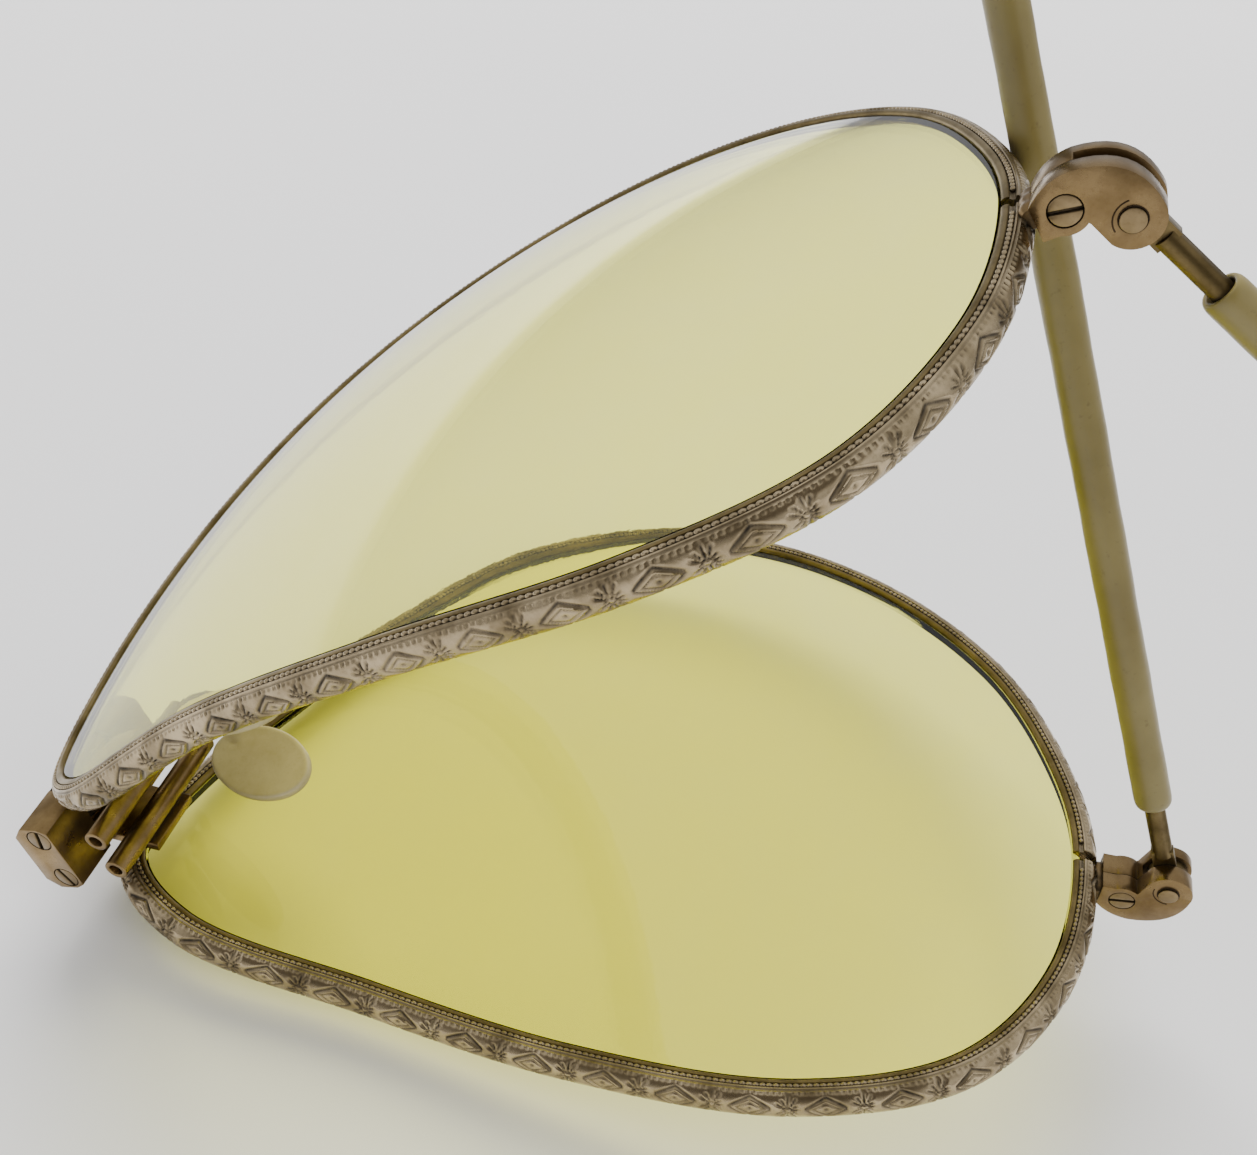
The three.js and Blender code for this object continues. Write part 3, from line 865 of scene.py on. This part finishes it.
def make_collar(side):
    """The clasp's collar, bulging between the rim's ends and the end piece."""
    depths = np.linspace(COLLAR_FROM, COLLAR_TO, 15)
    centres = np.stack([np.full(15, COLLAR_X), depths, np.full(15, COLLAR_Z)], 1)
    from_middle = np.abs(depths - (COLLAR_FROM + COLLAR_TO) / 2) / ((COLLAR_TO - COLLAR_FROM) / 2)
    radii = COLLAR_RADIUS * (1 - 0.28 * from_middle**4) + 0.03 * np.cos(from_middle * 9)
    grid = sweep(centres, radii, np.array([1.0, 0, 0]), 24)
    points, faces = to_row(grid.reshape(-1, 3), side), capped_faces(*grid.shape[:2])
    make_piece(side + "_clasp_collar", points, faces, side + "_frame", END_METAL)


# The nodes shown as rounded copies: body, material, slot and the width of the rounding.
ROUNDED = [
    ("hinge_leaf", "frame", BRIDGE_METAL, "bridge_metal", 0.06),
    ("pad_tube", "frame", BRIDGE_METAL, "bridge_metal", 0.05),
    ("pad_arm", "frame", WIRE_METAL, "wire_metal", 0.0),
    ("upper_end_piece", "frame", END_METAL, "end_piece_metal", 0.09),
    ("lower_end_piece", "frame", END_METAL, "end_piece_metal", 0.07),
    ("closing_screw", "frame", SCREW_METAL, "screw_metal", 0.035),
    ("temple_pin", "frame", SCREW_METAL, "screw_metal", 0.03),
    ("temple_wire", "temple", WIRE_METAL, "wire_metal", 0.1),
]

for side in SIDES:
    make_rim(side)
    make_milgrain(side)
    make_lip(side)
    make_lens(side)
    make_sleeve(side)
    make_ear_end(side)
    make_seams(side)
    make_collar(side)
    make_pad(side)
    for node, body, material, slot, width in ROUNDED:
        whole = f"{side}_{node}"
        rounded_copy(whole, whole + "_finished", f"{side}_{body}", material, width * MM)
    pin = side + "_fold_pin"
    rounded_copy(pin, pin + "_finished", "bridge", SCREW_METAL, 0.04 * MM)
rounded_copy("bridge_link", "bridge_link_finished", "bridge", BRIDGE_METAL, 0.12 * MM, 3)


# ---------------------------------------------------------------- table, light and camera


def make_table():
    mesh = bpy.data.meshes.new("table_top")
    corners = ((-1, -1), (1, -1), (1, 1), (-1, 1))
    mesh.from_pydata([(x * TABLE_HALF, y * TABLE_HALF, TABLE_LEVEL) for x, y in corners], [], [(0, 1, 2, 3)])
    mesh.materials.append(table_top())
    table = bpy.data.objects.new("table_top", mesh)
    bpy.context.scene.collection.objects.link(table)


def add_lamp(name, place, target, size, watts, colour):
    """A window-like lamp that lights the scene and isn't mirrored in the lenses."""
    lamp = bpy.data.lights.new(name, "AREA")
    lamp.shape = "RECTANGLE"
    lamp.size, lamp.size_y = size
    lamp.energy = watts
    lamp.color = colour
    piece = bpy.data.objects.new(name, lamp)
    piece.location = place
    piece.rotation_euler = (Vector(target) - Vector(place)).to_track_quat("-Z", "Y").to_euler()
    piece.visible_glossy = False
    piece.visible_transmission = False
    bpy.context.scene.collection.objects.link(piece)


def two_tones(tree, value, start, first, end, last):
    """A colour that goes from first to last while the value goes from start to end."""
    ramp = tree.nodes.new("ShaderNodeValToRGB")
    for element, position, colour in zip(ramp.color_ramp.elements, (start, end), (first, last)):
        element.position = position
        element.color = (*colour, 1)
    tree.links.new(value, ramp.inputs[0])
    return ramp.outputs[0]


def make_light():
    """A pale uneven room, dark where the photographer stands, and two lamps."""
    world = bpy.data.worlds.new("soft_room")
    world.use_nodes = True
    tree = world.node_tree
    background = tree.nodes["Background"]
    background.inputs["Strength"].default_value = ROOM_STRENGTH
    towards = tree.nodes.new("ShaderNodeTexCoord").outputs["Generated"]
    height = tree.nodes.new("ShaderNodeSeparateXYZ")
    tree.links.new(towards, height.inputs[0])
    cloud = tree.nodes.new("ShaderNodeTexNoise")
    cloud.inputs["Scale"].default_value = 1.6
    tree.links.new(towards, cloud.inputs["Vector"])
    level = tree.nodes.new("ShaderNodeMath")
    level.operation = "MULTIPLY_ADD"
    tree.links.new(cloud.outputs["Fac"], level.inputs[0])
    level.inputs[1].default_value = 0.9
    tree.links.new(height.outputs["Z"], level.inputs[2])
    beside = tree.nodes.new("ShaderNodeVectorMath")
    beside.operation = "DOT_PRODUCT"
    tree.links.new(towards, beside.inputs[0])
    beside.inputs[1].default_value = (MATRICES["left"].to_3x3() @ Vector(EYE_FORWARD)).normalized() * -1
    room = tree.nodes.new("ShaderNodeMix")
    room.data_type = "RGBA"
    room.blend_type = "MULTIPLY"
    room.inputs[0].default_value = 1
    walls = two_tones(tree, level.outputs[0], 0.35, (0.46, 0.46, 0.48), 1, (1, 1, 1))
    person = two_tones(tree, beside.outputs["Value"], 0.8, (1, 1, 1), 0.93, (0.2, 0.18, 0.16))
    tree.links.new(walls, room.inputs[6])
    tree.links.new(person, room.inputs[7])
    tree.links.new(room.outputs[2], background.inputs["Color"])
    bpy.context.scene.world = world
    low, high = (np.array(corner) for corner in cad_box)
    middle = tuple((low + high) / 2)
    add_lamp("window", (-0.25, 0.55, 0.6), middle, (0.75, 0.6), 13, (1.0, 0.985, 0.96))
    add_lamp("fill", (0.5, -0.35, 0.5), middle, (0.5, 0.5), 1.8, (1.0, 0.97, 0.93))


def make_camera():
    """The photo's camera, placed beside the left lens."""
    rotation = MATRICES["left"].to_3x3() * (1 / MM)
    forward = (rotation @ Vector(EYE_FORWARD)).normalized()
    right = (rotation @ Vector(EYE_RIGHT)).normalized()
    up = right.cross(forward).normalized()
    right = forward.cross(up).normalized()
    data = bpy.data.cameras.new("camera")
    data.sensor_width = SENSOR
    data.lens = LENS_LENGTH
    data.clip_start = 0.005
    camera = bpy.data.objects.new("camera", data)
    turned = Matrix((right, up, -forward)).transposed().to_4x4()
    camera.matrix_world = Matrix.Translation(MATRICES["left"] @ Vector(EYE_AT)) @ turned
    bpy.context.scene.collection.objects.link(camera)
    bpy.context.scene.camera = camera


make_table()
make_light()
make_camera()
